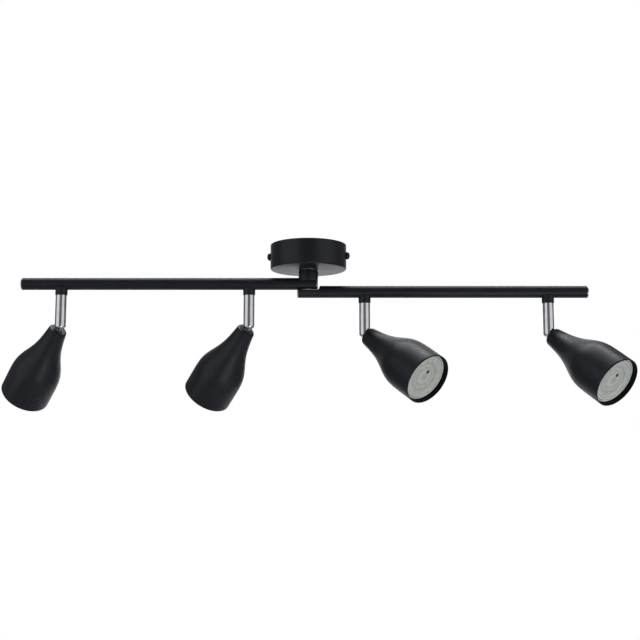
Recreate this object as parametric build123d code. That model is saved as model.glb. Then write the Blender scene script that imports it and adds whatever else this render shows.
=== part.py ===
from build123d import *
import math
import os

# Ceiling spotlight bar: a round canopy carries a short hub, the hub carries an upper arm, and a lower
# arm swivels under it on a stepped lap. Each arm carries two heads that pan and tilt.
# Millimetres. Origin: centre of the canopy's rim, on the ceiling. +Z up, arms along X at rest.

# --- canopy and ceiling bracket ---
canopy_diameter = 80.0
canopy_height = 26.0
canopy_wall = 1.0
canopy_edge_radius = 1.6
canopy_turn = -5.0            # the bracket and its side screws, turned about Z from the arms
side_screw_depth = 11.5       # below the ceiling
side_screw_diameter = 4.0
side_head_diameter = 8.0
side_head_height = 3.8
side_head_crown = 2.6
side_screw_length = 7.0       # under the head
side_head_gap = 0.02          # between the screw's flat head and the round wall
bracket_width = 16.0
bracket_thickness = 1.5
bracket_tab_height = 17.0
bracket_gap = 1.2             # bracket tab to canopy wall
ceiling_hole_spacing = 50.0
ceiling_hole_diameter = 5.0
earth_screw_place = 14.0
earth_screw_diameter = 4.0
screw_clearance = 0.15        # radial, screw shank in a plain hole

terminal_length = 20.0
terminal_width = 24.0
terminal_height = 11.0
terminal_ways = 3
terminal_place = 23.0         # block's centre from the canopy's axis
terminal_screw_diameter = 3.0
terminal_wire_hole = 3.6

# --- hub and canopy swivel ---
hub_diameter = 20.5
hub_height = 12.5
hub_top_wall = 4.0
hub_edge_radius = 0.6
hub_saddle = 4.15             # how far the hub's lower edge comes down round the upper tube
nipple_diameter = 10.0
nipple_bore = 6.0
nipple_flange_diameter = 13.0
nipple_flange_height = 2.0
nipple_rise = 5.5             # above the canopy's floor
nipple_nut_flats = 14.0
nipple_nut_height = 4.0
running_gap = 0.05            # radial clearance of a turning fit
swivel_gap = 0.3              # between faces that turn past each other

# --- arms ---
tube_diameter = 12.7
tube_wall = 1.2
lap_gap = 0.2                 # between the upper tube and the lap cut in the lower tube
axis_step = 8.5               # upper tube's axis to lower tube's axis
upper_outer_end = 301.9       # from the swivel axis
upper_inner_end = 10.3
lower_outer_end = 293.9
lower_inner_end = 12.0
lap_clearance = 0.4           # upper tube's turning end to the round shoulder of the lap
outer_head_margin = 42.4      # an arm's outer end to its outer head
upper_inner_head = 62.2       # from the swivel axis
lower_inner_head = 59.0
end_cap_thickness = 1.5
end_cap_dome = 0.7
end_cap_plug = 1.6
knuckle_reach = 9.0           # how far each knuckle runs past the swivel axis, away from the inner end
knuckle_gap = 0.05
swivel_bolt_diameter = 6.0
swivel_bolt_bore = 3.4
swivel_head_diameter = 8.4
swivel_head_height = 1.6
swivel_ledge = 2.6            # lower knuckle between the lap and the bolt's head

# --- collars, pan rivets and stems ---
collar_diameter = 12.7
collar_drop = 5.5             # below the tube
collar_saddle = 2.4           # how far the collar's sides rise round the tube
rivet_diameter = 6.0
rivet_bore = 4.0
rivet_head_diameter = 7.4
rivet_head_height = 0.9
rivet_foot_diameter = 8.4
rivet_foot_height = 1.5
stem_diameter = 11.6
stem_length = 35.5
stem_tip_radius = 3.0
stem_top_radius = 0.3
stem_top_wall = 3.0
stem_bore = 9.0
stem_solid_height = 12.0      # solid clevis end, up from the tip
pivot_rise = 3.6              # tilt axis above the stem's tip
slot_width = 4.0
slot_back = 4.4               # slot's closed side, behind the tilt axis
slot_top = 4.6                # above the tilt axis
pin_diameter = 3.0

# --- leads ---
lead_diameter = 1.6
lead_spacing = 2.0
arm_lead_rise = 2.9           # above the tube's axis
stem_lead_diameter = 1.5
stem_lead_spacing = 1.7
stem_lead_gap = 0.2           # under the arm's leads
canopy_lead_rise = 6.0        # above the canopy's floor, where the leads leave the terminal block
canopy_lead_run = 8.0         # straight run out of the block, and the rise after it
canopy_lead_reach = 8.0       # from the swivel axis to the top of the rise
canopy_lead_hump = 2.0        # last rise over the nipple
canopy_lead_bends = [4.5, 4.0, 4.0]

# --- heads ---
tongue_gap = 0.2              # each side of the tongue in its slot
tongue_width = 8.0
tip_clearance = 0.35          # stem's tip to the neck's end face
shade_length = 95.0
shade_wall = 0.9
neck_radius = 9.5
neck_edge_radius = 2.4
neck_end_wall = 2.0
flare_place = 26.6            # stations along the shade from its neck end, and the radius at each
flare_radius = 14.1
waist_place = 40.0
waist_radius = 18.8
shoulder_place = 57.0
shoulder_radius = 25.2
barrel_place = 72.0           # full radius from here to the mouth
lug_diameter = 6.0
lug_bore = 3.4
lug_clearance = 0.1
lug_nut_flats = 10.0
lug_nut_height = 3.0
holder_gap = 0.4              # lamp's base to the holder's face
holder_diameter = 22.0
holder_length = 19.0
holder_socket_depth = 4.0
pin_hole_diameter = 5.8
pin_hole_depth = 8.0
lamp_recess = 5.0             # lamp's face behind the mouth
lamp_face_diameter = 50.0
lamp_side_gap = 0.6           # lamp's rim to the shade's wall
lamp_length = 48.6            # face to base
lamp_base_diameter = 20.0
lamp_base_length = 12.0
lamp_rim_length = 6.0
lamp_pin_spacing = 10.0
lamp_pin_length = 7.0
lamp_pin_diameter = 2.4
lamp_pin_head_diameter = 5.0
lamp_pin_head_length = 2.4
lens_diameter = 46.0
lens_thickness = 2.5
lens_seat_gap = 0.1
lens_setback = 0.6            # behind the lamp's rim

# --- places worked out from the sizes above ---
tube_radius = tube_diameter / 2
tube_inner_radius = tube_radius - tube_wall
canopy_floor = -canopy_height + canopy_wall
hub_bottom = -canopy_height - swivel_gap - hub_height
upper_axis = hub_bottom + hub_saddle - tube_radius
lower_axis = upper_axis - axis_step
arm_axis = {"upper": upper_axis, "lower": lower_axis}
lap_level = upper_axis - tube_radius - lap_gap
lap_shoulder = math.hypot(upper_inner_end, tube_radius) + lap_clearance
swivel_head_top = lap_level - swivel_ledge
upper_head_places = [outer_head_margin - upper_outer_end, -upper_inner_head]
lower_head_places = [lower_inner_head, lower_outer_end - outer_head_margin]
stem_radius = stem_diameter / 2
tip_reach = stem_tip_radius + math.hypot(stem_radius - stem_tip_radius, pivot_rise - stem_tip_radius)
shade_start = tip_reach + tip_clearance
tongue_thickness = slot_width - 2 * tongue_gap
mouth_radius = lamp_face_diameter / 2 + lamp_side_gap + shade_wall
lamp_base_place = shade_length - lamp_recess - lamp_length
holder_start = lamp_base_place - holder_gap - holder_length

# head number: (arm, place along it, tilt from hanging, direction of tilt about Z)
head_poses = {
    1: ("upper", upper_head_places[0], 48.0, 131.0),
    2: ("upper", upper_head_places[1], 48.0, 130.0),
    3: ("lower", lower_head_places[0], 58.0, -46.0),
    4: ("lower", lower_head_places[1], 55.5, -51.0),
}


def rod(radius, low, high, x=0.0, y=0.0):
    """A vertical cylinder between two heights."""
    return Pos(x, y, (low + high) / 2) * Cylinder(radius, high - low)


def bar(radius, low, high, y=0.0, z=0.0):
    """A cylinder along X between two places."""
    return Pos((low + high) / 2, y, z) * Rot(0, 90, 0) * Cylinder(radius, high - low)


def hexagon(flats, low, high):
    """A hexagonal prism between two heights."""
    outline = RegularPolygon(flats / 2, 6, major_radius=False)
    return Pos(0, 0, low) * extrude(outline, high - low)


def block(x, y, z):
    """A box between three pairs of coordinates."""
    centre = [(low + high) / 2 for low, high in (x, y, z)]
    return Pos(*centre) * Box(x[1] - x[0], y[1] - y[0], z[1] - z[0])


def turned(points):
    """A solid of revolution about Z from (radius, height) corners."""
    outline = Polyline(*[(r, 0, z) for r, z in points], close=True)
    return revolve(make_face(outline), Axis.Z)


def domed_disc(radius, edge, crown):
    """A disc on the XY plane with a straight edge and a spherical crown on top."""
    sphere_radius = (radius ** 2 + crown ** 2) / (2 * crown)
    half_angle = math.asin(radius / sphere_radius) / 2
    middle = (sphere_radius * math.sin(half_angle), 0,
              edge + crown - sphere_radius * (1 - math.cos(half_angle)))
    outline = Polyline((0, 0, edge + crown), (0, 0, 0), (radius, 0, 0), (radius, 0, edge))
    outline += ThreePointArc((radius, 0, edge), middle, (0, 0, edge + crown))
    return revolve(make_face(outline), Axis.Z)


# --- canopy body ---
def canopy():
    shell = rod(canopy_diameter / 2, -canopy_height, 0)
    shell = fillet(shell.edges().sort_by(Axis.Z)[0], canopy_edge_radius)
    shell -= rod(canopy_diameter / 2 - canopy_wall, canopy_floor, 1)
    shell -= rod(nipple_diameter / 2 + screw_clearance, -canopy_height - 1, canopy_floor + 1)
    hole_radius = side_screw_diameter / 2 + screw_clearance
    hole = bar(hole_radius, -canopy_diameter, canopy_diameter, z=-side_screw_depth)
    return shell - Rot(0, 0, canopy_turn) * hole


def ceiling_bracket():
    reach = canopy_diameter / 2 - canopy_wall - bracket_gap
    half = bracket_width / 2
    strap = block((-reach, reach), (-half, half), (-bracket_thickness, 0))
    for side in (-1, 1):
        ends = sorted((side * reach, side * (reach - bracket_thickness)))
        strap += block(ends, (-half, half), (-bracket_tab_height, 0))
        strap -= rod(ceiling_hole_diameter / 2, -9, 1, side * ceiling_hole_spacing / 2)
    strap -= bar(side_screw_diameter / 2, -canopy_diameter, canopy_diameter, z=-side_screw_depth)
    strap -= rod(earth_screw_diameter / 2, -9, 1, earth_screw_place)
    return Rot(0, 0, canopy_turn) * strap


def canopy_screws():
    seat = canopy_diameter / 2 + side_head_gap
    dome = domed_disc(side_head_diameter / 2, side_head_height - side_head_crown, side_head_crown)
    head = Pos(seat, 0, 0) * Rot(0, 90, 0) * dome
    shank = bar(side_screw_diameter / 2, seat - side_screw_length, seat)
    screw = Pos(0, 0, -side_screw_depth) * (head + shank)
    return Rot(0, 0, canopy_turn) * Compound(children=[screw, Rot(0, 0, 180) * screw])


def earth_screw():
    head = rod(earth_screw_diameter, -bracket_thickness - 2.4, -bracket_thickness)
    head = fillet(head.edges().sort_by(Axis.Z)[0], 0.8)
    head -= block((-5, 5), (-0.5, 0.5), (-bracket_thickness - 3, -bracket_thickness - 1.4))
    shank = rod(earth_screw_diameter / 2, -bracket_thickness, -0.2)
    return Rot(0, 0, canopy_turn) * Pos(earth_screw_place, 0, 0) * (head + shank)


def terminal_offsets():
    pitch = terminal_width / terminal_ways
    return [(i - (terminal_ways - 1) / 2) * pitch for i in range(terminal_ways)]


def terminal_block():
    low, high = -terminal_place - terminal_length / 2, -terminal_place + terminal_length / 2
    half = terminal_width / 2
    top = canopy_floor + terminal_height
    wire_level = canopy_floor + canopy_lead_rise
    screw_hole_radius = terminal_screw_diameter / 2 + screw_clearance
    body = block((low, high), (-half, half), (canopy_floor, top))
    body = fillet(body.edges().filter_by(Axis.Z), 1.0)
    for y in terminal_offsets():
        body -= bar(terminal_wire_hole / 2, low - 1, high + 1, y, wire_level)
        for x in (low + terminal_length / 4, high - terminal_length / 4):
            body -= rod(screw_hole_radius, wire_level, top + 1, x, y)
    return body


def terminal_screws():
    top = canopy_floor + terminal_height - 1.0
    foot = canopy_floor + canopy_lead_rise + lead_diameter / 2 + 0.1
    screws = []
    for y in terminal_offsets():
        for x in (-terminal_length / 4, terminal_length / 4):
            screw = rod(terminal_screw_diameter / 2, foot, top, x - terminal_place, y)
            slot = block((-3, 3), (-0.3, 0.3), (top - 0.8, top + 1))
            screws.append(screw - Pos(x - terminal_place, y, 0) * slot)
    return Compound(children=screws)


def swivel_nipple():
    flange_top = -canopy_height - swivel_gap - hub_top_wall - swivel_gap
    tube = rod(nipple_diameter / 2, flange_top, canopy_floor + nipple_rise)
    tube += rod(nipple_flange_diameter / 2, flange_top - nipple_flange_height, flange_top)
    return tube - rod(nipple_bore / 2, -canopy_height * 2, 0)


def nipple_nut():
    nut = hexagon(nipple_nut_flats, canopy_floor, canopy_floor + nipple_nut_height)
    return nut - rod(nipple_diameter / 2, -canopy_height, 0)


def canopy_leads():
    """Two leads from the terminal block, over the nipple's top and down its bore."""
    entry = upper_axis + tube_radius - 0.5
    level = canopy_floor + canopy_lead_rise
    start = -terminal_place + terminal_length / 4
    way = terminal_width / terminal_ways
    leads = []
    for side in (-1, 1):
        y = side * lead_spacing / 2
        points = [(start, side * way, level), (start + canopy_lead_run, side * way, level),
                  (-canopy_lead_reach, side * way * 0.9, level + canopy_lead_run),
                  (0, y, level + canopy_lead_run + canopy_lead_hump), (0, y, entry)]
        path = FilletPolyline(*points, radius=canopy_lead_bends)
        leads.append(sweep(Plane(points[0], z_dir=(1, 0, 0)) * Circle(lead_diameter / 2), path=path))
    return Compound(children=leads)


# --- upper arm body ---
def centre_hub():
    top = -canopy_height - swivel_gap
    hub = rod(hub_diameter / 2, hub_bottom, top)
    hub = fillet(hub.edges().filter_by(GeomType.CIRCLE), hub_edge_radius)
    hub -= rod(nipple_diameter / 2 + running_gap, hub_bottom, top + 1)
    hub -= rod(nipple_flange_diameter / 2 + swivel_gap, hub_bottom - 1, top - hub_top_wall)
    return hub - bar(tube_radius, -hub_diameter, hub_diameter, z=upper_axis)


def tube(outer, inner, axis, places):
    """An arm's tube between two places, bored for its pan rivets."""
    low, high = sorted((outer, inner))
    pipe = bar(tube_radius, low, high, z=axis) - bar(tube_inner_radius, low - 1, high + 1, z=axis)
    for x in places:
        pipe -= rod(rivet_diameter / 2, axis - tube_diameter, axis, x)
    return pipe


def upper_tube():
    outer = -upper_outer_end + end_cap_thickness
    pipe = tube(outer, upper_inner_end - end_cap_thickness, upper_axis, upper_head_places)
    pipe -= rod(nipple_bore / 2, upper_axis, upper_axis + tube_diameter)
    return pipe - rod(swivel_bolt_diameter / 2 + screw_clearance, upper_axis - tube_diameter, upper_axis)


def end_cap(place, axis, side):
    """A domed cap on a tube's end, with its plug inside the tube; side is the way it faces."""
    cap = Rot(0, 90, 0) * domed_disc(tube_radius, end_cap_thickness - end_cap_dome, end_cap_dome)
    cap += bar(tube_inner_radius - knuckle_gap, -end_cap_plug, 0)
    turn = 0 if side > 0 else 180
    return Pos(place - side * end_cap_thickness, 0, axis) * Rot(0, 0, turn) * cap


def upper_end_caps():
    outer = end_cap(-upper_outer_end, upper_axis, -1)
    return Compound(children=[outer, end_cap(upper_inner_end, upper_axis, 1)])


def upper_knuckle():
    radius = tube_inner_radius - knuckle_gap
    inner = upper_inner_end - end_cap_thickness - end_cap_plug
    plug = bar(radius, -knuckle_reach, inner, z=upper_axis)
    plug -= rod(swivel_bolt_diameter / 2, upper_axis - tube_diameter, upper_axis + radius - 1.5)
    return plug - rod(nipple_bore / 2, upper_axis + radius - 1.5, upper_axis + tube_diameter)


def swivel_bolt():
    top = upper_axis + tube_inner_radius - knuckle_gap - 1.5
    bolt = rod(swivel_bolt_diameter / 2, swivel_head_top, top)
    bolt += rod(swivel_head_diameter / 2, swivel_head_top - swivel_head_height, swivel_head_top)
    return bolt - rod(swivel_bolt_bore / 2, lower_axis - tube_diameter, 0)


def arm_leads(axis, start, end):
    """The pair of leads along the top of an arm's tube."""
    low, high = sorted((start, end))
    level = axis + arm_lead_rise
    pair = [bar(lead_diameter / 2, low, high, side * lead_spacing / 2, level) for side in (-1, 1)]
    return Compound(children=pair)


# --- lower arm body ---
def lap_cut():
    """The space that the upper tube's inner end sweeps as it turns over the lower tube."""
    behind = block((-tube_diameter * 2, 0), (-tube_diameter, tube_diameter), (lap_level, upper_axis))
    return behind + rod(lap_shoulder, lap_level, upper_axis)


def lower_tube():
    pipe = tube(lower_outer_end - end_cap_thickness, end_cap_thickness - lower_inner_end, lower_axis,
                lower_head_places)
    return pipe - lap_cut()


def lower_end_caps():
    inner = end_cap(-lower_inner_end, lower_axis, -1) - lap_cut()
    return Compound(children=[inner, end_cap(lower_outer_end, lower_axis, 1)])


def lower_knuckle():
    radius = tube_inner_radius - knuckle_gap
    low = -lower_inner_end + end_cap_thickness + end_cap_plug
    plug = bar(radius, low, lap_shoulder + knuckle_reach / 2, z=lower_axis) - lap_cut()
    plug -= rod(swivel_bolt_diameter / 2 + running_gap, lower_axis - tube_diameter, 0)
    return plug - rod(swivel_head_diameter / 2 + swivel_gap / 2, lower_axis - tube_diameter,
                      swivel_head_top + swivel_gap / 3)


# --- collars and pan rivets, fixed to the arms ---
def collars(axis, places):
    """The short sleeves under an arm's tube, saddled to it."""
    low = axis - tube_radius - collar_drop
    high = axis - tube_radius + collar_saddle
    group = []
    for x in places:
        sleeve = rod(collar_diameter / 2, low, high, x) - rod(rivet_diameter / 2, low - 1, axis, x)
        group.append(sleeve - bar(tube_radius, x - collar_diameter, x + collar_diameter, z=axis))
    return Compound(children=group)


def pan_rivets(axis, places):
    """Hollow rivets that hold the stems under the collars and let them turn."""
    wall_top = axis - math.sqrt(tube_inner_radius ** 2 - (rivet_head_diameter / 2) ** 2)
    foot_top = axis - tube_radius - collar_drop - swivel_gap - stem_top_wall - swivel_gap / 2
    group = []
    for x in places:
        rivet = rod(rivet_diameter / 2, foot_top, wall_top, x)
        rivet += rod(rivet_head_diameter / 2, wall_top, wall_top + rivet_head_height, x)
        rivet += rod(rivet_foot_diameter / 2, foot_top - rivet_foot_height, foot_top, x)
        group.append(rivet - rod(rivet_bore / 2, foot_top - 9, axis, x))
    return Compound(children=group)


# --- stems: local frame with the tilt axis along Y through the origin, tilting towards +X ---
def stem():
    top = stem_length - pivot_rise
    body = rod(stem_radius, -pivot_rise, top)
    body = fillet(body.edges().filter_by(GeomType.CIRCLE).sort_by(Axis.Z)[0], stem_tip_radius)
    body = fillet(body.edges().filter_by(GeomType.CIRCLE).sort_by(Axis.Z)[-1], stem_top_radius)
    body -= rod(stem_bore / 2, stem_solid_height - pivot_rise, top - stem_top_wall)
    body -= rod(rivet_diameter / 2 + running_gap, top - stem_top_wall - 1, top + 1)
    body -= rod(rivet_bore / 2, 0, stem_solid_height)
    half = slot_width / 2
    body -= block((-slot_back, stem_diameter), (-half, half), (-stem_diameter, slot_top))
    return body - Rot(90, 0, 0) * Cylinder(pin_diameter / 2, stem_diameter * 2)


def tilt_pin():
    chord = 2 * math.sqrt(stem_radius ** 2 - (pin_diameter / 2) ** 2)
    return Rot(90, 0, 0) * Cylinder(pin_diameter / 2, chord)


def stem_leads(axis):
    top = axis + arm_lead_rise - lead_diameter / 2 - stem_lead_gap
    pivot = pivot_height(axis)
    pair = [rod(stem_lead_diameter / 2, slot_top + 0.5, top - pivot, 0, side * stem_lead_spacing / 2)
            for side in (-1, 1)]
    return Compound(children=pair)


# --- heads: local frame hanging straight down, tilt axis along Y through the origin ---
def shade_form(inset, start):
    """The solid inside the shade's outer surface, drawn in by inset and cut off before start."""
    middle = [(flare_place, flare_radius), (waist_place, waist_radius), (shoulder_place, shoulder_radius),
              (barrel_place, mouth_radius)]
    points = [(neck_radius - inset, 0.0)] + [(r - inset, s) for s, r in middle]
    points.append((mouth_radius - inset, shade_length))
    curve = Spline(*[(r, 0, -s) for r, s in points], tangents=[(0.14, 0, -1), (0, 0, -1)])
    outline = Polyline((mouth_radius - inset, 0, -shade_length), (0, 0, -shade_length), (0, 0, 0),
                       (neck_radius - inset, 0, 0))
    body = revolve(make_face(outline + curve), Axis.Z)
    if start > 0:
        body -= rod(mouth_radius * 2, -start, 1)
    return body


def shade():
    outer = shade_form(0, 0)
    outer = fillet(outer.edges().filter_by(GeomType.CIRCLE).sort_by(Axis.Z)[-1], neck_edge_radius)
    inner = shade_form(shade_wall, neck_end_wall)
    shell = outer - inner - rod(lug_diameter / 2 + lug_clearance, -neck_end_wall - 1, 1)
    return Pos(0, 0, -shade_start) * shell


def tilt_lug():
    half = tongue_thickness / 2
    eye = Rot(90, 0, 0) * Cylinder(tongue_width / 2, tongue_thickness)
    tongue = eye + block((-tongue_width / 2, tongue_width / 2), (-half, half), (-shade_start, 0))
    spigot_end = -shade_start - holder_start - holder_socket_depth
    lug = tongue + rod(lug_diameter / 2, spigot_end, -shade_start)
    lug -= rod(lug_bore / 2, spigot_end - 1, -shade_start - neck_end_wall)
    return lug - Rot(90, 0, 0) * Cylinder(pin_diameter / 2 + running_gap, tongue_thickness * 2)


def lug_nut():
    top = -shade_start - neck_end_wall
    return hexagon(lug_nut_flats, top - lug_nut_height, top) - rod(lug_diameter / 2, top - 9, top)


def lampholder():
    top = -shade_start - holder_start
    body = rod(holder_diameter / 2, top - holder_length, top)
    body = fillet(body.edges().filter_by(GeomType.CIRCLE).sort_by(Axis.Z)[-1], 1.5)
    body -= rod(lug_diameter / 2, top - holder_socket_depth, top + 1)
    for side in (-1, 1):
        body -= rod(pin_hole_diameter / 2, top - holder_length - 1, top - holder_length + pin_hole_depth,
                    0, side * lamp_pin_spacing / 2)
    return body


def lamp_body():
    face = -shade_start - shade_length + lamp_recess
    base = face + lamp_length
    radius = lamp_face_diameter / 2
    neck = lamp_base_diameter / 2
    body = turned([(0, base), (neck, base), (neck, base - lamp_base_length), (radius, face + lamp_rim_length),
                   (radius, face), (0, face)])
    body -= rod(lens_diameter / 2 + lens_seat_gap, face - 1, face + lens_setback + lens_thickness)
    for side in (-1, 1):
        y = side * lamp_pin_spacing / 2
        body += rod(lamp_pin_diameter / 2, base - 1, base + lamp_pin_length, 0, y)
        body += rod(lamp_pin_head_diameter / 2, base + lamp_pin_length - lamp_pin_head_length,
                    base + lamp_pin_length, 0, y)
    return body


def lamp_lens():
    face = -shade_start - shade_length + lamp_recess + lens_setback
    lens = rod(lens_diameter / 2, face, face + lens_thickness)
    return fillet(lens.edges().filter_by(GeomType.CIRCLE).sort_by(Axis.Z)[0], 0.5)


def pivot_height(axis):
    """Height of the tilt axis of a head on the arm whose tube axis is given."""
    return axis - tube_radius - collar_drop - swivel_gap - stem_length + pivot_rise


def write(name, shape):
    shape.label = name
    export_step(shape, f"parts/{name}.step")


def write_head(number):
    arm, x, tilt, direction = head_poses[number]
    axis = arm_axis[arm]
    on_stem = Pos(x, 0, pivot_height(axis)) * Rot(0, 0, direction)
    on_head = on_stem * Rot(0, -tilt, 0)
    for name, shape in (("stem", stem()), ("tilt_pin", tilt_pin()), ("stem_leads", stem_leads(axis))):
        write(f"head_{number}_{name}", on_stem * shape)
    for piece in (shade, tilt_lug, lug_nut, lampholder, lamp_body, lamp_lens):
        write(f"head_{number}_{piece.__name__}", on_head * piece())


def main():
    os.makedirs("parts", exist_ok=True)
    for piece in (canopy, ceiling_bracket, canopy_screws, earth_screw, terminal_block, terminal_screws,
                  swivel_nipple, nipple_nut, canopy_leads, centre_hub, upper_tube, upper_end_caps,
                  upper_knuckle, swivel_bolt, lower_tube, lower_end_caps, lower_knuckle):
        write(piece.__name__, piece())
    write("upper_collars", collars(upper_axis, upper_head_places))
    write("lower_collars", collars(lower_axis, lower_head_places))
    write("upper_pan_rivets", pan_rivets(upper_axis, upper_head_places))
    write("lower_pan_rivets", pan_rivets(lower_axis, lower_head_places))
    write("upper_leads", arm_leads(upper_axis, -knuckle_reach - 1, upper_head_places[0]))
    write("lower_leads", arm_leads(lower_axis, lap_shoulder + knuckle_reach, lower_head_places[1]))
    for number in head_poses:
        write_head(number)


main()
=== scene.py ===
import math

import bmesh
import bpy
import numpy as np
from mathutils import Matrix, Vector


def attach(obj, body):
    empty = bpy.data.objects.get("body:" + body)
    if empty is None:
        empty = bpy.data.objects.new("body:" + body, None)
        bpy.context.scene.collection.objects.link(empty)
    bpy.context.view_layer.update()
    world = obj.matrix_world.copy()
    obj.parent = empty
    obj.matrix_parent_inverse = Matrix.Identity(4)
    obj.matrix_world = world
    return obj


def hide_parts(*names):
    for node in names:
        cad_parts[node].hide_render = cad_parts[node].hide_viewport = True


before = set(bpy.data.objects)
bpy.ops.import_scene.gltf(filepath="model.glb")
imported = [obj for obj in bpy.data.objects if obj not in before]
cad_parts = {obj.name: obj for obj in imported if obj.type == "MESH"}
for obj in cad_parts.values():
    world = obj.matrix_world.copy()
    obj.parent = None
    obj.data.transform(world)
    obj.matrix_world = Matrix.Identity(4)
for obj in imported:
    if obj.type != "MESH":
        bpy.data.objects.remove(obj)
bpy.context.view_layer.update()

# Ceiling spotlight bar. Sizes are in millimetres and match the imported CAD.
# MM turns them into metres.
MM = 0.001

# --- sizes shared with the CAD ---
CANOPY_RADIUS, CANOPY_HEIGHT, CANOPY_WALL = 40.0, 26.0, 1.0
CANOPY_EDGE, CANOPY_TURN = 1.6, -5.0
NIPPLE_RADIUS, NIPPLE_HOLE_GAP, RUNNING_GAP = 5.0, 0.15, 0.05
SIDE_SCREW_DEPTH = 11.5
SIDE_HEAD_RADIUS, SIDE_HEAD_EDGE, SIDE_HEAD_CROWN = 4.0, 1.2, 2.6
SIDE_HEAD_TOP, SIDE_HEAD_GAP = 3.8, 0.02
SIDE_SHANK_RADIUS, SIDE_SHANK_LENGTH = 2.0, 7.0
HUB_RADIUS, HUB_TOP, HUB_BOTTOM = 10.25, -26.3, -38.8
TUBE_RADIUS, TUBE_WALL = 6.35, 1.2
UPPER_AXIS, LOWER_AXIS = -41.0, -49.5
UPPER_OUTER, UPPER_INNER = -301.9, 10.3
LOWER_OUTER, LOWER_INNER = 293.9, -12.0
LAP_LEVEL, LAP_SHOULDER = -47.55, 12.5
CAP_THICKNESS, CAP_DOME, CAP_PLUG, CAP_PLUG_GAP = 1.5, 0.7, 1.6, 0.05
COLLAR_RADIUS, COLLAR_LOW, COLLAR_HIGH = 6.35, -11.85, -3.95     # heights from the tube's axis
STEM_RADIUS, STEM_LOW, STEM_HIGH = 5.8, -3.6, 31.9              # heights from the tilt axis
STEM_TOP_HOLE, STEM_TOP_WALL = 3.05, 3.0
STEM_BORE, STEM_SOLID_TOP = 4.5, 8.4                            # bore's radius, and its floor
SLOT_HALF, SLOT_BACK, SLOT_TOP = 2.0, 4.4, 4.6
PIN_RADIUS = 1.5
PIVOT_DROP = 44.05                                              # tube's axis down to the tilt axis
SHADE_START, SHADE_LENGTH, SHADE_WALL = 6.214, 95.0, 0.9
NECK_RADIUS, NECK_END_WALL, MOUTH_RADIUS = 9.5, 2.0, 26.5
SHADE_STATIONS = [                                              # (from the neck's end, radius)
    (0.0, NECK_RADIUS), (26.6, 14.1), (40.0, 18.8), (57.0, 25.2), (72.0, MOUTH_RADIUS),
    (95.0, MOUTH_RADIUS),
]
NECK_SLOPE = 0.14                                               # how fast the wall opens there
LUG_HOLE = 3.1
LAMP_RECESS, LAMP_LENGTH = 5.0, 48.6
LAMP_BASE_LENGTH, LAMP_PIN_PLACE, LENS_SETBACK = 12.0, 5.0, 0.6
HEADS = {                  # number: (arm's axis, place, tilt, direction)
    1: (UPPER_AXIS, -259.5, 48.0, 131.0),
    2: (UPPER_AXIS, -62.2, 48.0, 130.0),
    3: (LOWER_AXIS, 59.0, 58.0, -46.0),
    4: (LOWER_AXIS, 251.5, 55.5, -51.0),
}


# --- procedural materials ---
class Paint:
    """Node graph of one material, on object coordinates."""

    def __init__(self, name):
        self.material = bpy.data.materials.new(name)
        self.material.use_nodes = True
        self.nodes = self.material.node_tree.nodes
        self.links = self.material.node_tree.links
        self.shader = self.nodes["Principled BSDF"]
        self.coordinate = self.nodes.new("ShaderNodeTexCoord").outputs["Object"]

    def set(self, **values):
        for key, value in values.items():
            self.shader.inputs[key.replace("_", " ")].default_value = value
        return self

    def join(self, source, socket):
        self.links.new(source, self.shader.inputs[socket])
        return self

    def stretched(self, scale):
        mapping = self.nodes.new("ShaderNodeMapping")
        mapping.inputs["Scale"].default_value = scale
        self.links.new(self.coordinate, mapping.inputs["Vector"])
        return mapping.outputs["Vector"]

    def noise(self, scale, detail=3.0, roughness=0.5, vector=None):
        node = self.nodes.new("ShaderNodeTexNoise")
        node.inputs["Scale"].default_value = scale
        node.inputs["Detail"].default_value = detail
        node.inputs["Roughness"].default_value = roughness
        self.links.new(vector or self.coordinate, node.inputs["Vector"])
        return node.outputs["Fac"]

    def cells(self, scale):
        node = self.nodes.new("ShaderNodeTexVoronoi")
        node.inputs["Scale"].default_value = scale
        self.links.new(self.coordinate, node.inputs["Vector"])
        return node

    def ramp(self, value, low, high, start=0.3, end=0.7):
        """Colour running from low to high as value goes from start to end."""
        node = self.nodes.new("ShaderNodeValToRGB")
        first, last = node.color_ramp.elements
        first.position, last.position = start, end
        first.color, last.color = (*low, 1.0), (*high, 1.0)
        self.links.new(value, node.inputs["Fac"])
        return node.outputs["Color"]

    def span(self, value, low, high, start=0.3, end=0.7):
        """Number running from low to high as value goes from start to end."""
        node = self.nodes.new("ShaderNodeMapRange")
        limits = {"From Min": start, "From Max": end, "To Min": low, "To Max": high}
        for socket, number in limits.items():
            node.inputs[socket].default_value = number
        self.links.new(value, node.inputs["Value"])
        return node.outputs["Result"]

    def bump(self, height, strength, distance, below=None):
        node = self.nodes.new("ShaderNodeBump")
        node.inputs["Strength"].default_value = strength
        node.inputs["Distance"].default_value = distance
        self.links.new(height, node.inputs["Height"])
        if below is not None:
            self.links.new(below, node.inputs["Normal"])
        self.links.new(node.outputs["Normal"], self.shader.inputs["Normal"])
        return node.outputs["Normal"]


def powder_coat(name, low, high, rough_low, rough_high, peel, sheen=(0.60, 0.64, 0.70)):
    """Satin black coating: faint tone changes, orange peel and a few fine dust nibs."""
    paint = Paint(name).set(Specular_IOR_Level=0.5, Specular_Tint=(*sheen, 1.0))
    paint.join(paint.ramp(paint.noise(26.0, 4.0), low, high), "Base Color")
    paint.join(paint.span(paint.noise(70.0, 5.0, 0.6), rough_low, rough_high), "Roughness")
    first = paint.bump(paint.noise(850.0, 2.0), peel, 0.00006)
    paint.bump(paint.noise(2600.0, 1.0), peel * 0.4, 0.00002, first)
    return paint.material


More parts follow.
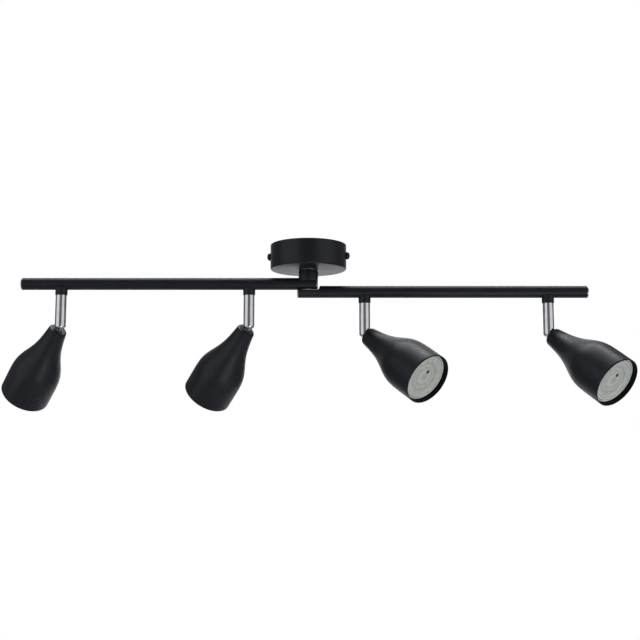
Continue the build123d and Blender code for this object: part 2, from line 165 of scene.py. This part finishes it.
def plated(name, low, high, rough_low, rough_high, grain, grain_scale, strength):
    """Bare or plated metal with a drawn grain along one axis of its object."""
    paint = Paint(name).set(Metallic=1.0)
    paint.join(paint.ramp(paint.noise(120.0, 4.0, 0.55), low, high), "Base Color")
    lines = paint.noise(grain_scale, 4.0, 0.6, paint.stretched(grain))
    paint.join(paint.span(lines, rough_low, rough_high), "Roughness")
    paint.bump(lines, strength, 0.00002)
    return paint.material


def zinc(name):
    """Zinc plate: bluish grey spangle with a passivated warm cast."""
    paint = Paint(name).set(Metallic=1.0)
    spangle = paint.cells(700.0)
    tone = paint.ramp(spangle.outputs["Color"], (0.42, 0.43, 0.43), (0.60, 0.60, 0.57), 0.2, 0.9)
    paint.join(tone, "Base Color")
    paint.join(paint.span(paint.noise(300.0, 4.0), 0.24, 0.42), "Roughness")
    paint.bump(paint.noise(1500.0, 3.0), 0.12, 0.00004)
    return paint.material


def moulded(name, low, high, rough_low, rough_high, subsurface=0.0):
    """Moulded plastic with a light spark-eroded texture and faint flow shades."""
    paint = Paint(name).set(Subsurface_Weight=subsurface, Subsurface_Scale=0.001)
    paint.join(paint.ramp(paint.noise(90.0, 3.0), low, high), "Base Color")
    paint.join(paint.span(paint.noise(400.0, 4.0), rough_low, rough_high), "Roughness")
    paint.bump(paint.noise(2200.0, 2.0), 0.10, 0.00003)
    return paint.material


def ceramic(name):
    """Unglazed ceramic with fine speckle and pressed grain."""
    paint = Paint(name)
    speck = paint.cells(1400.0).outputs["Distance"]
    paint.join(paint.ramp(speck, (0.55, 0.51, 0.45), (0.80, 0.78, 0.73), 0.02, 0.20), "Base Color")
    paint.join(paint.span(paint.noise(500.0), 0.55, 0.8), "Roughness")
    paint.bump(paint.noise(1800.0, 5.0, 0.7), 0.25, 0.00005)
    return paint.material


def sleeving(name):
    """Lead insulation: one lead of a pair brown, the other blue, by their side of the arm."""
    paint = Paint(name)
    parts = paint.nodes.new("ShaderNodeSeparateXYZ")
    paint.links.new(paint.coordinate, parts.inputs["Vector"])
    wobble = paint.span(paint.noise(60.0), -0.00005, 0.00005)
    total = paint.nodes.new("ShaderNodeMath")
    paint.links.new(parts.outputs["Y"], total.inputs[0])
    paint.links.new(wobble, total.inputs[1])
    brown, blue = (0.14, 0.055, 0.025), (0.03, 0.09, 0.30)
    paint.join(paint.ramp(total.outputs["Value"], brown, blue, 0.0, 0.0001), "Base Color")
    paint.join(paint.span(paint.noise(900.0, 3.0), 0.35, 0.55), "Roughness")
    paint.bump(paint.noise(3000.0, 2.0), 0.2, 0.00002)
    return paint.material


def studio_paper():
    """Matt sweep, white on its wall and grey below, so less light comes from under the object."""
    paint = Paint("studio_paper").set(Roughness=0.9, Specular_IOR_Level=0.1)
    parts = paint.nodes.new("ShaderNodeSeparateXYZ")
    paint.links.new(paint.coordinate, parts.inputs["Vector"])
    rise = paint.span(parts.outputs["Z"], 0.0, 1.0, -1.20, -0.85)
    paint.join(paint.ramp(rise, (0.40, 0.40, 0.41), (0.87, 0.87, 0.875), 0.0, 1.0), "Base Color")
    paint.bump(paint.noise(300.0, 3.0), 0.05, 0.0001)
    return paint.material


def floor_paper():
    """Plain pale floor with its own even light, so that the wall washes leave no patches."""
    paint = Paint("floor_paper").set(
        Base_Color=(0.03, 0.03, 0.03, 1.0), Roughness=0.9,
        Emission_Color=(0.84, 0.84, 0.845, 1.0), Emission_Strength=1.0)
    paint.bump(paint.noise(300.0, 3.0), 0.05, 0.0001)
    return paint.material


def lamp_cover(name, low, high, rough_low, rough_high):
    """Frosted prismatic lens: ring shades that follow the radius, under a clear gloss."""
    paint = Paint(name).set(Coat_Weight=0.6, Coat_Roughness=0.06, Transmission_Weight=0.0,
                            Subsurface_Weight=0.25, Subsurface_Scale=0.002)
    parts = paint.nodes.new("ShaderNodeVectorMath")
    parts.operation = "LENGTH"
    flat = paint.stretched((1.0, 1.0, 0.0))
    paint.links.new(flat, parts.inputs[0])
    radius = parts.outputs["Value"]
    shade = paint.nodes.new("ShaderNodeMath")
    shade.operation = "MULTIPLY_ADD"
    paint.links.new(paint.noise(140.0, 4.0, 0.6), shade.inputs[0])
    shade.inputs[1].default_value = 0.006
    paint.links.new(radius, shade.inputs[2])
    rings = paint.nodes.new("ShaderNodeValToRGB")
    elements = rings.color_ramp.elements
    stops = [(0.10, low), (0.30, high), (0.42, low), (0.50, high), (0.62, low), (0.80, high),
             (0.95, low)]
    elements[0].position, elements[0].color = stops[0][0], (*stops[0][1], 1.0)
    elements[1].position, elements[1].color = stops[-1][0], (*stops[-1][1], 1.0)
    for position, colour in stops[1:-1]:
        elements.new(position).color = (*colour, 1.0)
    scaled = paint.span(shade.outputs["Value"], 0.0, 1.0, 0.002, 0.027)
    paint.links.new(scaled, rings.inputs["Fac"])
    paint.join(rings.outputs["Color"], "Base Color")
    paint.join(paint.span(paint.noise(220.0, 3.0), rough_low, rough_high), "Roughness")
    paint.bump(paint.noise(700.0, 2.0), 0.10, 0.00005)
    return paint.material


BLACK = powder_coat(
    "black_powder", (0.0105, 0.0122, 0.0155), (0.0150, 0.0172, 0.0212), 0.36, 0.48, 0.10)
BLACK_CANOPY = powder_coat(
    "black_canopy_powder", (0.0105, 0.0118, 0.0145), (0.0150, 0.0165, 0.0200), 0.35, 0.40, 0.08)
BLACK_SCREW = powder_coat(
    "black_screw_lacquer", (0.007, 0.007, 0.008), (0.012, 0.012, 0.013), 0.14, 0.24, 0.05)
# Darker copy of the black coat with a weaker specular tint, for the shades' inner walls and the
# knuckles: painted shade for those recesses.
INSIDE_PAINTED_SHADE = powder_coat(
    "black_inside_painted_shade", (0.003, 0.003, 0.0035), (0.006, 0.006, 0.0065), 0.50, 0.65, 0.16,
    (0.22, 0.23, 0.25))
CAP_CHROME = plated(
    "cap_chrome", (0.62, 0.63, 0.64), (0.72, 0.73, 0.74), 0.20, 0.30, (1.0, 1.0, 1.0), 500.0, 0.04)
CHROME = plated(
    "chrome_plate", (0.70, 0.71, 0.72), (0.80, 0.81, 0.82), 0.05, 0.13, (1.0, 1.0, 0.05), 900.0,
    0.04)
ZINC = zinc("zinc_plate")
BRASS = plated(
    "brass", (0.55, 0.37, 0.13), (0.72, 0.52, 0.22), 0.18, 0.34, (1.0, 1.0, 0.2), 600.0, 0.08)
WHITE_PLASTIC = moulded(
    "white_plastic", (0.62, 0.62, 0.58), (0.74, 0.74, 0.70), 0.40, 0.55, 0.05)
LAMP_PLASTIC = moulded(
    "lamp_plastic", (0.80, 0.81, 0.79), (0.88, 0.89, 0.87), 0.24, 0.36, 0.05)
CERAMIC = ceramic("ceramic")
# Light grey metal for two thin strips along the lap's cut edges: a painted highlight of those
# edges.
EDGE_HIGHLIGHT_METAL = plated(
    "painted_edge_highlight", (0.55, 0.56, 0.57), (0.68, 0.69, 0.70), 0.42, 0.58, (0.1, 1.0, 1.0), 900.0, 0.15)
SLEEVING = sleeving("lead_sleeving")
LENS = lamp_cover("lamp_lens", (0.58, 0.63, 0.57), (0.80, 0.85, 0.79), 0.14, 0.26)
LENS_RIM = moulded("lens_rim", (0.84, 0.86, 0.83), (0.90, 0.92, 0.89), 0.14, 0.24, 0.1)
LED_DOT = moulded("led_gate", (0.02, 0.025, 0.025), (0.05, 0.055, 0.05), 0.3, 0.4)


# --- mesh helpers ---
def rounded(points, radii, steps=6):
    """The corner list with the corners named in radii replaced by arcs."""
    out = []
    for i, point in enumerate(points):
        radius = radii.get(i)
        if not radius:
            out.append(point)
            continue
        here = Vector(point)
        back = (Vector(points[i - 1]) - here).normalized()
        ahead = (Vector(points[(i + 1) % len(points)]) - here).normalized()
        half = back.angle(ahead) / 2
        reach = radius / math.tan(half)
        centre = here + (back + ahead).normalized() * (radius / math.sin(half))
        first, last = here + back * reach - centre, here + ahead * reach - centre
        sweep = first.angle(last)
        for k in range(steps + 1):
            t = k / steps
            arm = (first * math.sin((1 - t) * sweep) + last * math.sin(t * sweep)) / math.sin(sweep)
            out.append(tuple(centre + arm))
    return out


def lathe(points, segments=96, closed=False):
    """Surface of revolution about Z from (radius, height) points in mm."""
    mesh = bmesh.new()
    angles = [2 * math.pi * i / segments for i in range(segments)]
    rings = []
    for radius, height in points:
        if radius < 1e-6:
            rings.append([mesh.verts.new((0, 0, height * MM))])
        else:
            reach = radius * MM
            rings.append([mesh.verts.new((reach * math.cos(a), reach * math.sin(a), height * MM))
                          for a in angles])
    follow = rings[1:] + rings[:1] if closed else rings[1:]
    for low, high in zip(rings, follow):
        for i in range(segments):
            j = (i + 1) % segments
            corners = []
            for ring, k in ((low, i), (low, j), (high, j), (high, i)):
                vertex = ring[k % len(ring)]
                if vertex not in corners:
                    corners.append(vertex)
            if len(corners) > 2:
                mesh.faces.new(corners)
    bmesh.ops.recalc_face_normals(mesh, faces=mesh.faces)
    return mesh


def solid_box(x, y, z):
    """A box between three pairs of coordinates in mm."""
    mesh = bmesh.new()
    bmesh.ops.create_cube(mesh, size=1.0)
    for vertex in mesh.verts:
        for axis, (low, high) in enumerate((x, y, z)):
            vertex.co[axis] = (low if vertex.co[axis] < 0 else high) * MM
    return mesh


def piece(name, mesh, material, matrix=None, angle=32.0):
    """A shown object from a bmesh, smooth apart from its sharp edges."""
    data = bpy.data.meshes.new(name)
    mesh.to_mesh(data)
    mesh.free()
    data.materials.append(material)
    shape = bpy.data.objects.new(name, data)
    bpy.context.scene.collection.objects.link(shape)
    if matrix is not None:
        shape.matrix_world = matrix
    smooth(shape, angle)
    return shape


def smooth(shape, angle=32.0):
    shape.data.polygons.foreach_set("use_smooth", [True] * len(shape.data.polygons))
    shape.data.set_sharp_from_angle(angle=math.radians(angle))


def carve(shape, tools, angle=32.0):
    """Takes the tool meshes, placed like the shape, out of it."""
    for tool in tools:
        cutter = piece("cutter", tool, shape.data.materials[0], shape.matrix_world.copy())
        bpy.context.view_layer.update()
        step = shape.modifiers.new("cut", "BOOLEAN")
        step.operation, step.solver, step.object = "DIFFERENCE", "EXACT", cutter
        graph = bpy.context.evaluated_depsgraph_get()
        cut = bpy.data.meshes.new_from_object(shape.evaluated_get(graph))
        shape.modifiers.clear()
        shape.data = cut
        bpy.data.objects.remove(cutter)
    smooth(shape, angle)
    return shape


def edge_break(shape, width, segments=2):
    """Softens the sharp edges that the cuts left."""
    step = shape.modifiers.new("edges", "BEVEL")
    step.width, step.segments, step.limit_method = width * MM, segments, "ANGLE"
    step.angle_limit = math.radians(40)
    step.harden_normals = False
    return shape


def show(shape, body, slot, *nodes):
    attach(shape, body)
    if nodes:
        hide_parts(*nodes)
    return shape


def at(x=0.0, z=0.0, turn=0.0, tilt=0.0, y=0.0):
    """Place in mm, then a turn about Z, then a tilt towards +X."""
    return (Matrix.Translation(Vector((x, y, z)) * MM) @ Matrix.Rotation(math.radians(turn), 4, "Z")
            @ Matrix.Rotation(math.radians(-tilt), 4, "Y"))


ALONG_X = Matrix.Rotation(math.radians(90), 4, "Y")     # local Z onto +X


def clamped_curve(points, start, end, samples):
    """Cubic spline through the points, on chord length, with the given end directions."""
    knots = [0.0]
    for a, b in zip(points, points[1:]):
        knots.append(knots[-1] + math.dist(a, b))
    values = np.array(points, float)
    count = len(points)
    matrix = np.zeros((count, count))
    right = np.zeros((count, 2))
    matrix[0, 0] = matrix[-1, -1] = 1.0
    right[0], right[-1] = start, end
    for i in range(1, count - 1):
        before, after = knots[i] - knots[i - 1], knots[i + 1] - knots[i]
        matrix[i, i - 1:i + 2] = after, 2 * (before + after), before
        ahead, behind = values[i + 1] - values[i], values[i] - values[i - 1]
        right[i] = 3 * (ahead * before / after + behind * after / before)
    slopes = np.linalg.solve(matrix, right)
    curve = []
    for i in range(count - 1):
        width = knots[i + 1] - knots[i]
        for k in range(samples):
            t = k / samples
            place = (values[i] * (2 * t ** 3 - 3 * t ** 2 + 1)
                     + slopes[i] * width * (t ** 3 - 2 * t ** 2 + t)
                     + values[i + 1] * (3 * t ** 2 - 2 * t ** 3)
                     + slopes[i + 1] * width * (t ** 3 - t ** 2))
            curve.append(tuple(place))
    curve.append(tuple(values[-1]))
    return curve


def shade_profile(inset):
    """(radius, height) points of the shade's wall, neck to mouth, drawn in by inset."""
    points = [(r - inset, -s) for s, r in SHADE_STATIONS]
    lean = math.hypot(NECK_SLOPE, 1.0)
    return clamped_curve(points, (NECK_SLOPE / lean, -1.0 / lean), (0.0, -1.0), 10)


# --- canopy ---
def build_canopy():
    r, h, w = CANOPY_RADIUS, CANOPY_HEIGHT, CANOPY_WALL
    hole = NIPPLE_RADIUS + NIPPLE_HOLE_GAP
    corners = [(hole, -h), (r, -h), (r, 0), (r - w, 0), (r - w, w - h), (hole, w - h)]
    edges = {1: CANOPY_EDGE, 2: 0.25, 3: 0.25, 4: 0.8}
    shell = lathe(rounded(corners, edges), 192, closed=True)
    cup = piece("canopy_shell", shell, BLACK_CANOPY)
    show(cup, "canopy_fixing", "black_canopy", "canopy")
    for number, side in ((1, 0), (2, 180)):
        turn = Matrix.Rotation(math.radians(CANOPY_TURN + side), 4, "Z")
        place = turn @ at(CANOPY_RADIUS + SIDE_HEAD_GAP, -SIDE_SCREW_DEPTH) @ ALONG_X
        dome = [(SIDE_HEAD_RADIUS * math.cos(a), SIDE_HEAD_EDGE + SIDE_HEAD_CROWN * math.sin(a))
                for a in np.linspace(0.0, math.pi / 2, 14)[:-1]]
        shank = [(0, -SIDE_SHANK_LENGTH), (1.6, -SIDE_SHANK_LENGTH), (SIDE_SHANK_RADIUS, -6.6),
                 (SIDE_SHANK_RADIUS, 0.0)]
        outline = shank + [(3.7, 0.0), (SIDE_HEAD_RADIUS, 0.3)] + dome + [(0, SIDE_HEAD_TOP)]
        screw = piece(f"side_screw_{number}", lathe(outline, 64), BLACK_SCREW, place)
        width, reach, depth = (-0.45, 0.45), (-2.1, 2.1), (2.2, 6)
        carve(screw, [solid_box(width, reach, depth), solid_box(reach, width, depth)])
        show(screw, "canopy_fixing", "black_screws", "canopy_screws")


# --- hub and arms ---
def build_hub():
    bore = NIPPLE_RADIUS + RUNNING_GAP
    outline = rounded([(bore, HUB_TOP), (HUB_RADIUS, HUB_TOP), (HUB_RADIUS, HUB_BOTTOM),
                       (bore, HUB_BOTTOM)], {1: 0.7, 2: 0.5})
    hub = piece("hub_sleeve", lathe(outline, 128, closed=True), BLACK)
    show(hub, "upper_arm", "black_metal", "centre_hub")
    inner, outer, low, high = 10.0, 10.6, HUB_TOP - 0.32, HUB_TOP - 0.02
    ring = rounded([(inner, low), (outer, low), (outer, high), (inner, high)],
                   {1: 0.12, 2: 0.12}, 3)
    lip = lathe(ring, 128, closed=True)
    show(piece("hub_lip", lip, CAP_CHROME), "upper_arm", "chrome_trim")


def build_tube(name, axis, low, high):
    outer, inner = TUBE_RADIUS, TUBE_RADIUS - TUBE_WALL
    outline = rounded([(outer, low), (outer, high), (inner, high), (inner, low)],
                      {0: 0.15, 1: 0.15}, 3)
    # rings along the length keep the long faces short
    stops = np.linspace(low + 0.5, high - 0.5, 40)
    first = [p for p in outline if p[0] > inner + 1e-6 and p[1] < (low + high) / 2]
    last = [p for p in outline if p[0] > inner + 1e-6 and p[1] >= (low + high) / 2]
    ring = first + [(outer, s) for s in stops] + last + [(inner, high), (inner, low)]
    return piece(name, lathe(ring, 96, closed=True), BLACK, at(0, axis) @ ALONG_X)


def build_cap(name, place, axis, side, material):
    """Domed end cap with a plug inside the tube; side is the way it faces."""
    edge = CAP_THICKNESS - CAP_DOME
    dome = [(TUBE_RADIUS * math.cos(a), edge + CAP_DOME * math.sin(a))
            for a in np.linspace(0, math.pi / 2, 12)[:-1]]
    plug = TUBE_RADIUS - TUBE_WALL - CAP_PLUG_GAP
    outline = [(0, -CAP_PLUG), (plug, -CAP_PLUG), (plug, 0.0), (TUBE_RADIUS, 0.0)]
    outline += dome + [(0, CAP_THICKNESS)]
    facing = ALONG_X if side > 0 else Matrix.Rotation(math.pi, 4, "Z") @ ALONG_X
    matrix = at(place - side * CAP_THICKNESS, axis) @ facing
    return piece(name, lathe(outline, 96), material, matrix)


def lap_cuts(matrix):
    """The lap's flat behind the swivel axis and its round shoulder, in a placed piece's frame."""
    flat = solid_box((-30, 0), (-14, 14), (LAP_LEVEL, UPPER_AXIS))
    shoulder = lathe([(0, LAP_LEVEL), (LAP_SHOULDER, LAP_LEVEL), (LAP_SHOULDER, UPPER_AXIS),
                      (0, UPPER_AXIS)], 128)
    for mesh in (flat, shoulder):
        mesh.transform(matrix.inverted())
    return [flat, shoulder]


def build_arms():
    upper = build_tube("upper_tube_skin", UPPER_AXIS, UPPER_OUTER + CAP_THICKNESS,
                       UPPER_INNER - CAP_THICKNESS)
    show(upper, "upper_arm", "black_metal", "upper_tube")
    lower = build_tube("lower_tube_skin", LOWER_AXIS, LOWER_INNER + CAP_THICKNESS,
                       LOWER_OUTER - CAP_THICKNESS)
    carve(lower, lap_cuts(lower.matrix_world))
    edge_break(lower, 0.2)
    show(lower, "lower_arm", "black_metal", "lower_tube")
    front = math.sqrt(TUBE_RADIUS ** 2 - (LAP_LEVEL - LOWER_AXIS) ** 2)
    # Two light metal strips along the lap's cut edges paint the highlight that those edges catch.
    for side in (-1, 1):
        edge = solid_box((-6.2, 10.2), (-0.35, 0.35), (-0.5, 0.0))
        highlight_strip = piece(f"lap_highlight_strip_{'a' if side < 0 else 'b'}", edge, EDGE_HIGHLIGHT_METAL,
                     at(0, LAP_LEVEL - 0.02, y=side * (front - 0.15)))
        edge_break(highlight_strip, 0.12)
        show(highlight_strip, "lower_arm", "zinc_steel")
    caps = (("upper_cap_outer", UPPER_OUTER, UPPER_AXIS, -1, "upper_arm", "upper_end_caps"),
            ("upper_cap_inner", UPPER_INNER, UPPER_AXIS, 1, "upper_arm", "upper_end_caps"),
            ("lower_cap_inner", LOWER_INNER, LOWER_AXIS, -1, "lower_arm", "lower_end_caps"),
            ("lower_cap_outer", LOWER_OUTER, LOWER_AXIS, 1, "lower_arm", "lower_end_caps"))
    for name, place, axis, side, body, node in caps:
        cap = build_cap(name, place, axis, side, CAP_CHROME)
        if name == "lower_cap_inner":
            carve(cap, lap_cuts(cap.matrix_world))
        show(cap, body, "chrome_trim", node)


def build_collars():
    for number, (axis, x, _, _) in HEADS.items():
        body = "upper_arm" if axis == UPPER_AXIS else "lower_arm"
        hole = 3.0
        outline = rounded([(hole, COLLAR_LOW), (COLLAR_RADIUS, COLLAR_LOW),
                           (COLLAR_RADIUS, COLLAR_HIGH), (hole, COLLAR_HIGH)], {1: 0.4, 2: 0.5})
        sleeve = piece(f"collar_{number}", lathe(outline, 96, closed=True), BLACK, at(x, axis))
        node = "upper_collars" if axis == UPPER_AXIS else "lower_collars"
        show(sleeve, body, "black_metal", node)


# --- stems and heads ---
def build_stem(number, on_stem):
    r = STEM_RADIUS
    under_top = STEM_HIGH - STEM_TOP_WALL
    outline = rounded([(0, STEM_LOW), (r, STEM_LOW), (r, STEM_HIGH), (STEM_TOP_HOLE, STEM_HIGH),
                       (STEM_TOP_HOLE, under_top), (STEM_BORE, under_top),
                       (STEM_BORE, STEM_SOLID_TOP), (0, STEM_SOLID_TOP)], {1: 3.0, 2: 0.3}, 10)
    stem = piece(f"stem_{number}", lathe(outline, 128), CHROME, on_stem)
    carve(stem, [solid_box((-SLOT_BACK, 9.0), (-SLOT_HALF, SLOT_HALF), (-9.0, SLOT_TOP))])
    edge_break(stem, 0.25)
    show(stem, f"stem_{number}", "chrome_trim", f"head_{number}_stem")
    half = math.sqrt(r ** 2 - PIN_RADIUS ** 2)
    outline = rounded([(0, -half), (PIN_RADIUS, -half), (PIN_RADIUS, half), (0, half)],
                      {1: 0.3, 2: 0.3}, 4)
    pin = piece(f"pin_{number}", lathe(outline, 48), ZINC,
                on_stem @ Matrix.Rotation(math.radians(90), 4, "X"))
    show(pin, f"stem_{number}", "zinc_steel", f"head_{number}_tilt_pin")


def build_shade(number, on_head):
    outer = shade_profile(0.0)
    inner = [p for p in shade_profile(SHADE_WALL) if p[1] < -2.6]
    neck = rounded([(LUG_HOLE, 0.0), (NECK_RADIUS, 0.0), outer[4]], {1: 2.2}, 10)[:-1]
    outer = [p for p in outer if p[1] < neck[-1][1] - 0.2]
    mouth = [(MOUTH_RADIUS, -94.75), (26.3, -SHADE_LENGTH), (25.8, -SHADE_LENGTH), (25.6, -94.75)]
    inside_neck = [(8.6, -NECK_END_WALL), (LUG_HOLE, -NECK_END_WALL)]
    ring = neck + outer[:-1] + mouth + inner[::-1][1:] + inside_neck
    ring = [(r, z - SHADE_START) for r, z in ring]
    shell = piece(f"shade_{number}", lathe(ring, 192, closed=True), BLACK, on_head, 40.0)
    # Inward-facing walls take the darker inside coat: painted shade inside the shade.
    shell.data.materials.append(INSIDE_PAINTED_SHADE)
    for face in shell.data.polygons:
        outwards = face.normal.x * face.center.x + face.normal.y * face.center.y
        face.material_index = 1 if outwards < 0 else 0
    show(shell, f"head_{number}", "black_metal", f"head_{number}_shade")


def build_lamp(number, on_head):
    """Spot lamp: housing with cooling ribs, a light rim and a ringed front lens."""
    face = -SHADE_START - SHADE_LENGTH + LAMP_RECESS
    base = face + LAMP_LENGTH
    outline = [(0, base), (9.4, base), (10.0, base - 0.6), (10.0, base - LAMP_BASE_LENGTH)]
    for k in range(10):
        low = k / 10
        radius = 10.5 + 13.5 * low ** 0.8
        height = base - 12.5 - low * 29.0
        outline += [(radius, height), (radius + 0.9, height - 0.6), (radius + 0.9, height - 1.6),
                    (radius + 0.2, height - 2.0)]
    outline += [(24.6, face + 6.0), (25.0, face + 5.6), (25.0, face + 0.6), (24.6, face + 0.12),
                (24.2, face), (23.5, face), (23.15, face + 0.3), (23.1, face + 3.1),
                (0, face + 3.1)]
    housing = piece(f"lamp_housing_{number}", lathe(outline, 160), LAMP_PLASTIC, on_head, 28.0)
    show(housing, f"head_{number}", "lamp_plastic", f"head_{number}_lamp_body")
    for side in (-1, 1):
        pin = lathe(rounded([(0, base - 1), (1.2, base - 1), (1.2, base + 4.6), (2.5, base + 4.6),
                             (2.5, base + 7), (0, base + 7)], {4: 0.4}, 4), 32)
        contact = piece(f"lamp_pin_{number}_{'a' if side < 0 else 'b'}", pin, ZINC,
                        on_head @ at(0, 0, y=side * LAMP_PIN_PLACE))
        show(contact, f"head_{number}", "zinc_steel", f"head_{number}_lamp_body")
    front = face + LENS_SETBACK
    rings = [(0, front + 2.5), (23.0, front + 2.5), (23.0, front + 0.5), (22.85, front + 0.15),
             (22.5, front), (20.9, front), (20.6, front + 0.35)]
    place = 20.4
    for _ in range(5):
        rings += [(place, front + 0.7), (place - 1.25, front + 0.42), (place - 1.45, front + 0.5)]
        place -= 1.6
    rings += [(12.4, front + 0.75), (12.1, front + 0.1), (11.7, front - 0.05),
              (11.2, front + 0.1)]
    rings += [(11.0 * math.cos(a), front + 0.7 - 0.75 * math.sin(a))
              for a in np.linspace(0.0, math.pi / 2, 12)[:-1]]
    rings += [(0, front - 0.05)]
    lens = piece(f"lens_{number}", lathe(rings, 160), LENS, on_head, 25.0)
    show(lens, f"head_{number}", "lamp_glass", f"head_{number}_lamp_lens")
    bezel = lathe([(22.6, front + 0.3), (22.5, front - 0.1), (22.2, front - 0.22),
                   (21.3, front - 0.22), (21.0, front - 0.1), (20.9, front + 0.3)],
                  160, closed=True)
    rim = piece(f"lens_rim_{number}", bezel, LENS_RIM, on_head, 25.0)
    show(rim, f"head_{number}", "lamp_glass")
    mark = lathe([(0, front + 0.6), (2.0, front + 0.6), (2.0, front + 0.02), (1.7, front - 0.06),
                  (0, front - 0.1)], 40)
    gate = piece(f"lens_gate_{number}", mark, LED_DOT, on_head @ at(5.4, 0, y=2.0))
    show(gate, f"head_{number}", "lamp_plastic")


def build_heads():
    for number, (axis, x, tilt, direction) in HEADS.items():
        on_stem = at(x, axis - PIVOT_DROP, direction)
        on_head = on_stem @ at(tilt=tilt)
        build_stem(number, on_stem)
        build_shade(number, on_head)
        build_lamp(number, on_head)


# --- materials on the CAD nodes that stay in view ---
def paint_nodes():
    by_ending = {
        "ceiling_bracket": ZINC, "earth_screw": BRASS, "terminal_block": WHITE_PLASTIC,
        "terminal_screws": BRASS, "swivel_nipple": ZINC, "nipple_nut": ZINC, "leads": SLEEVING,
        # knuckles inside the arms take the darker inside coat, painted shade
        "knuckle": INSIDE_PAINTED_SHADE, "swivel_bolt": ZINC, "pan_rivets": ZINC, "tilt_lug": ZINC,
        "lug_nut": ZINC, "lampholder": CERAMIC, "tilt_pin": ZINC, "canopy_screws": BLACK_SCREW,
        "canopy": BLACK_CANOPY, "stem": CHROME, "end_caps": CHROME, "lamp_body": LAMP_PLASTIC,
        "lamp_lens": LENS,
    }
    for name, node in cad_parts.items():
        material = BLACK
        for ending, chosen in by_ending.items():
            if name.endswith(ending):
                material = chosen
        node.data.materials.clear()
        node.data.materials.append(material)


# --- studio ---
def build_studio():
    floor_level, front, wall_place, wall_top, cove, half_width = -1.6, -1.3, 3.6, 4.5, 1.4, 1.75
    outline = [(front, floor_level), (wall_place - cove, floor_level)]
    for k in range(1, 17):
        a = math.pi / 2 * k / 16
        outline.append((wall_place - cove + cove * math.sin(a),
                        floor_level + cove * (1 - math.cos(a))))
    outline.append((wall_place, wall_top))
    mesh = bmesh.new()
    sides = [[mesh.verts.new((x, y, z)) for y, z in outline] for x in (-half_width, half_width)]
    for i in range(len(outline) - 1):
        mesh.faces.new((sides[0][i], sides[1][i], sides[1][i + 1], sides[0][i + 1]))
    bmesh.ops.recalc_face_normals(mesh, faces=mesh.faces)
    sweep = piece("studio_sweep", mesh, studio_paper(), angle=60.0)
    # the sweep lights the object and shows in its gloss, but the camera doesn't see it: it sees
    # the world's white and the pale floor, so every side has the same plain surroundings
    sweep.visible_camera = False
    mesh = bmesh.new()
    reach, above_sweep = 5.0, 0.01
    corners = ((-reach, -reach), (reach, -reach), (reach, reach), (-reach, reach))
    mesh.faces.new([mesh.verts.new((x, y, floor_level + above_sweep)) for x, y in corners])
    floor = piece("studio_floor", mesh, floor_paper())
    floor.visible_diffuse = floor.visible_glossy = False
    floor.visible_transmission = floor.visible_shadow = False

    def softbox(name, place, target, size, power, colour):
        light = bpy.data.lights.new(name, "AREA")
        light.shape, light.size, light.size_y = "RECTANGLE", size[0], size[1]
        light.energy, light.color = power, colour
        lamp = bpy.data.objects.new(name, light)
        bpy.context.scene.collection.objects.link(lamp)
        lamp.location = place
        lamp.rotation_euler = (Vector(target) - Vector(place)).to_track_quat("-Z", "Y").to_euler()

    # name, place, target, size, power in watts, colour
    left, right, middle = (-1.7, -1.15, 0.0), (1.7, -1.15, 0.0), (0, 0, -0.08)
    softbox("left_softbox", left, middle, (2.3, 2.4), 11.5, (0.94, 0.97, 1.0))
    softbox("right_softbox", right, middle, (2.3, 2.4), 10.5, (1.0, 0.96, 0.98))
    softbox("top_softbox", (0.0, 0.2, 1.9), middle, (1.6, 1.6), 5.0, (1.0, 1.0, 1.0))
    softbox("low_fill", (0.6, -1.25, -1.15), (0.1, 0, -0.12), (0.9, 0.9), 5.5, (1.0, 1.0, 0.99))
    softbox("wall_wash_high", (0.0, 1.0, 3.4), (0, 3.6, 0.9), (3.4, 1.0), 154.0, (1.0, 1.0, 1.0))
    softbox("wall_wash_low", (0.0, 1.3, -1.3), (0, 3.6, -0.1), (3.4, 0.5), 56.0, (0.93, 0.93, 1.0))

    world = bpy.data.worlds.new("studio_air")
    bpy.context.scene.world = world
    world.use_nodes = True
    tree = world.node_tree
    air = tree.nodes["Background"]
    air.inputs["Color"].default_value = (0.96, 0.97, 1.0, 1.0)
    air.inputs["Strength"].default_value = 0.15
    pale = tree.nodes.new("ShaderNodeBackground")
    pale.inputs["Color"].default_value = (1.0, 1.0, 1.0, 1.0)
    path = tree.nodes.new("ShaderNodeLightPath")
    mix = tree.nodes.new("ShaderNodeMixShader")
    tree.links.new(path.outputs["Is Camera Ray"], mix.inputs["Fac"])
    tree.links.new(air.outputs["Background"], mix.inputs[1])
    tree.links.new(pale.outputs["Background"], mix.inputs[2])
    tree.links.new(mix.outputs["Shader"], tree.nodes["World Output"].inputs["Surface"])


def build_camera():
    data = bpy.data.cameras.new("camera")
    data.sensor_width, data.lens = 36.0, 62.57
    data.clip_start, data.clip_end = 0.01, 50.0
    camera = bpy.data.objects.new("camera", data)
    bpy.context.scene.collection.objects.link(camera)
    camera.location = (0.01225, -1.1535, -0.2437)
    camera.rotation_euler = (math.radians(98.11), 0.0, 0.0)
    bpy.context.scene.camera = camera


bpy.context.scene.view_settings.view_transform = "Standard"
paint_nodes()
build_canopy()
build_hub()
build_arms()
build_collars()
build_heads()
build_studio()
build_camera()
